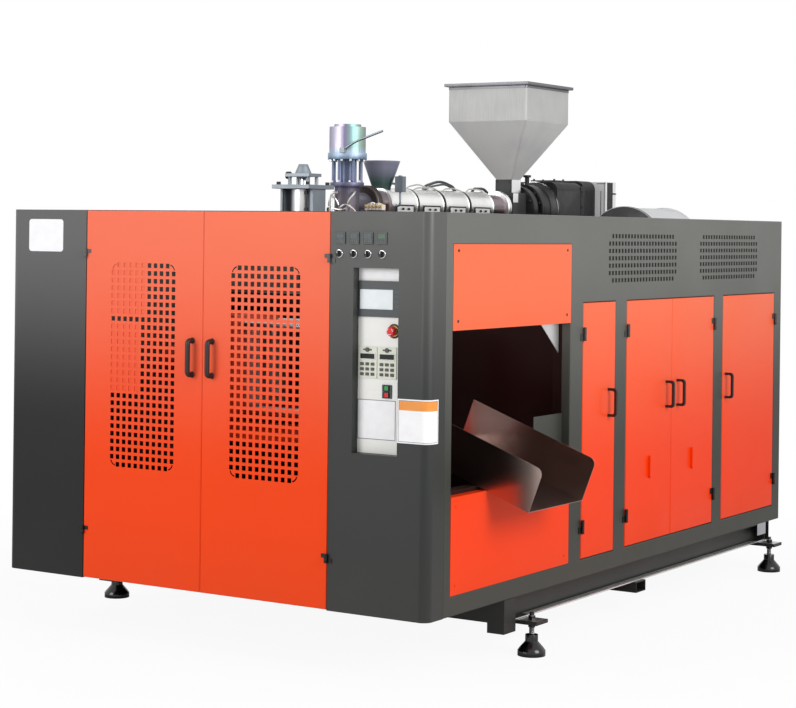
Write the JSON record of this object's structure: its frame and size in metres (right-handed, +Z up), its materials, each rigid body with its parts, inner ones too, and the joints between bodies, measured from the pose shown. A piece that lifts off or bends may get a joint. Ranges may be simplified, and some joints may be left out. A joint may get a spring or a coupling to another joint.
{
  "type": "blow moulding machine",
  "caption": "Extrusion blow moulding machine with an enclosed sheet metal body, perforated front doors, control column, outlet chute and a hopper-fed extruder on top.",
  "frame": {"origin": "on the floor under the middle of the whole machine's bounding box", "axes": "+X to the outlet side, +Y from the front doors to the rear, +Z up"},
  "size_m": [2.5483, 3.645, 2.5443],
  "materials": {
    "orange_paint": "semi-gloss powder coat",
    "dark_paint": "semi-gloss powder coat",
    "base_paint": "enamel",
    "light_paint": "enamel",
    "drive_paint": "enamel",
    "stainless": "brushed",
    "bright_steel": "ground",
    "nitrided_steel": "nitrided",
    "chrome_plate": "polished",
    "mould_aluminium": "machined",
    "black_plastic": "moulded",
    "instrument_plastic": "moulded",
    "panel_white": "satin",
    "keypad_grey": "moulded",
    "red_plastic": "moulded",
    "green_plastic": "moulded",
    "foot_rubber": "moulded"
  },
  "bodies": {
    "machine": {"base_frame": "base_paint", "levelling_feet": "foot_rubber", "machine_frame": "base_paint", "front_left_column": "dark_paint", "control_column": "dark_paint", "door_hinges": "dark_paint", "right_side_frame": "dark_paint", "left_side_panel": "dark_paint", "rear_panel": "dark_paint", "outlet_covers": "orange_paint", "outlet_chute": "stainless", "control_panel": "panel_white", "touch_screen": "instrument_plastic", "operator_keypads": "keypad_grey", "temperature_controllers": "instrument_plastic", "push_button_block": "black_plastic", "extruder_deck": "base_paint", "barrel": "nitrided_steel", "heater_bands": "stainless", "feed_throat": "bright_steel", "feed_hopper": "stainless", "gearbox": "drive_paint", "drive_motor": "drive_paint", "air_tank": "light_paint", "die_head": "nitrided_steel", "colour_hopper": "stainless", "blow_station": "base_paint", "carriage_rails": "base_paint", "hydraulic_unit": "base_paint", "electrical_panel": "light_paint"},
    "front_door_left": {"front_door_left": "orange_paint", "front_handle_left": "black_plastic"},
    "front_door_right": {"front_door_right": "orange_paint", "front_handle_right": "black_plastic"},
    "narrow_door": {"narrow_door": "orange_paint", "narrow_door_handle": "black_plastic"},
    "side_door_front": {"side_door_front": "orange_paint", "side_handle_front": "black_plastic"},
    "side_door_rear": {"side_door_rear": "orange_paint", "side_handle_rear": "black_plastic"},
    "end_door": {"end_door": "orange_paint", "end_door_handle": "black_plastic"},
    "side_lock_front": {"side_lock_front": "chrome_plate"},
    "side_lock_rear": {"side_lock_rear": "chrome_plate"},
    "start_button": {"start_button": "green_plastic"},
    "stop_button": {"stop_button": "red_plastic"},
    "emergency_stop": {"emergency_stop": "red_plastic"},
    "selector_knob_1": {"selector_knob_1": "black_plastic"},
    "selector_knob_2": {"selector_knob_2": "black_plastic"},
    "selector_knob_3": {"selector_knob_3": "black_plastic"},
    "selector_knob_4": {"selector_knob_4": "black_plastic"},
    "extruder_screw": {"extruder_screw": "nitrided_steel"},
    "hopper_lid": {"hopper_lid": "stainless"},
    "blow_pin": {"blow_pin": "bright_steel"},
    "carriage": {"carriage": "orange_paint", "tie_bars": "bright_steel"},
    "platen_left": {"platen_left": "orange_paint", "mould_left": "mould_aluminium"},
    "platen_right": {"platen_right": "orange_paint", "mould_right": "mould_aluminium"}
  },
  "joints": [
    {"name": "front_door_left_swing", "type": "hinge", "parent": "machine", "child": "front_door_left", "pos_m": [-0.74069, -1.7865, 1.05], "axis": [0, 0, -1], "range_deg": [0, 110]},
    {"name": "front_door_right_swing", "type": "hinge", "parent": "machine", "child": "front_door_right", "pos_m": [0.54631, -1.7865, 1.05], "axis": [0, 0, 1], "range_deg": [0, 110]},
    {"name": "narrow_door_swing", "type": "hinge", "parent": "machine", "child": "narrow_door", "pos_m": [1.02881, -0.486, 1.05], "axis": [0, 0, -1], "range_deg": [0, 110]},
    {"name": "side_door_front_swing", "type": "hinge", "parent": "machine", "child": "side_door_front", "pos_m": [1.02881, -0.05, 1.05], "axis": [0, 0, -1], "range_deg": [0, 110]},
    {"name": "side_door_rear_swing", "type": "hinge", "parent": "machine", "child": "side_door_rear", "pos_m": [1.02881, 0.933, 1.05], "axis": [0, 0, 1], "range_deg": [0, 110]},
    {"name": "end_door_swing", "type": "hinge", "parent": "machine", "child": "end_door", "pos_m": [1.02881, 1.725, 1.05], "axis": [0, 0, 1], "range_deg": [0, 110]},
    {"name": "side_lock_front_turn", "type": "hinge", "parent": "side_door_front", "child": "side_lock_front", "pos_m": [1.01981, 0.2025, 0.678], "axis": [1, 0, 0], "range_deg": [0, 90]},
    {"name": "side_lock_rear_turn", "type": "hinge", "parent": "side_door_rear", "child": "side_lock_rear", "pos_m": [1.01981, 0.6805, 0.678], "axis": [1, 0, 0], "range_deg": [0, 90]},
    {"name": "start_button_press", "type": "slide", "parent": "machine", "child": "start_button", "axis": [0, 1, 0], "range_m": [0, 0.004], "stiffness_N_per_m": 400, "springref_m": -0.002},
    {"name": "stop_button_press", "type": "slide", "parent": "machine", "child": "stop_button", "axis": [0, 1, 0], "range_m": [0, 0.004], "stiffness_N_per_m": 400, "springref_m": -0.002},
    {"name": "emergency_stop_press", "type": "slide", "parent": "machine", "child": "emergency_stop", "axis": [0, 1, 0], "range_m": [0, 0.005]},
    {"name": "selector_knob_1_turn", "type": "hinge", "parent": "machine", "child": "selector_knob_1", "pos_m": [0.59081, -1.7775, 1.681], "axis": [0, 1, 0], "range_deg": [-45, 45]},
    {"name": "selector_knob_2_turn", "type": "hinge", "parent": "machine", "child": "selector_knob_2", "pos_m": [0.65881, -1.7775, 1.681], "axis": [0, 1, 0], "range_deg": [-45, 45]},
    {"name": "selector_knob_3_turn", "type": "hinge", "parent": "machine", "child": "selector_knob_3", "pos_m": [0.72681, -1.7775, 1.681], "axis": [0, 1, 0], "range_deg": [-45, 45]},
    {"name": "selector_knob_4_turn", "type": "hinge", "parent": "machine", "child": "selector_knob_4", "pos_m": [0.79481, -1.7775, 1.681], "axis": [0, 1, 0], "range_deg": [-45, 45]},
    {"name": "extruder_screw_spin", "type": "hinge", "parent": "machine", "child": "extruder_screw", "pos_m": [-0.08019, 0.7685, 1.9], "axis": [0, 1, 0], "continuous": true},
    {"name": "hopper_lid_swing", "type": "hinge", "parent": "machine", "child": "hopper_lid", "pos_m": [-0.08019, 1.023, 2.5373], "axis": [-1, 0, 0], "range_deg": [0, 100]},
    {"name": "blow_pin_stroke", "type": "slide", "parent": "machine", "child": "blow_pin", "axis": [0, 0, -1], "range_m": [0, 0.18]},
    {"name": "carriage_travel", "type": "slide", "parent": "machine", "child": "carriage", "axis": [0, 1, 0], "range_m": [0, 0.35]},
    {"name": "platen_right_close", "type": "slide", "parent": "carriage", "child": "platen_right", "axis": [-1, 0, 0], "range_m": [0, 0.15]},
    {"name": "platen_left_close", "type": "slide", "parent": "carriage", "child": "platen_left", "axis": [1, 0, 0], "range_m": [0, 0.15]}
  ],
  "couplings": [
    {"joint": "platen_left_close", "follows": "platen_right_close", "ratio": 1}
  ]
}
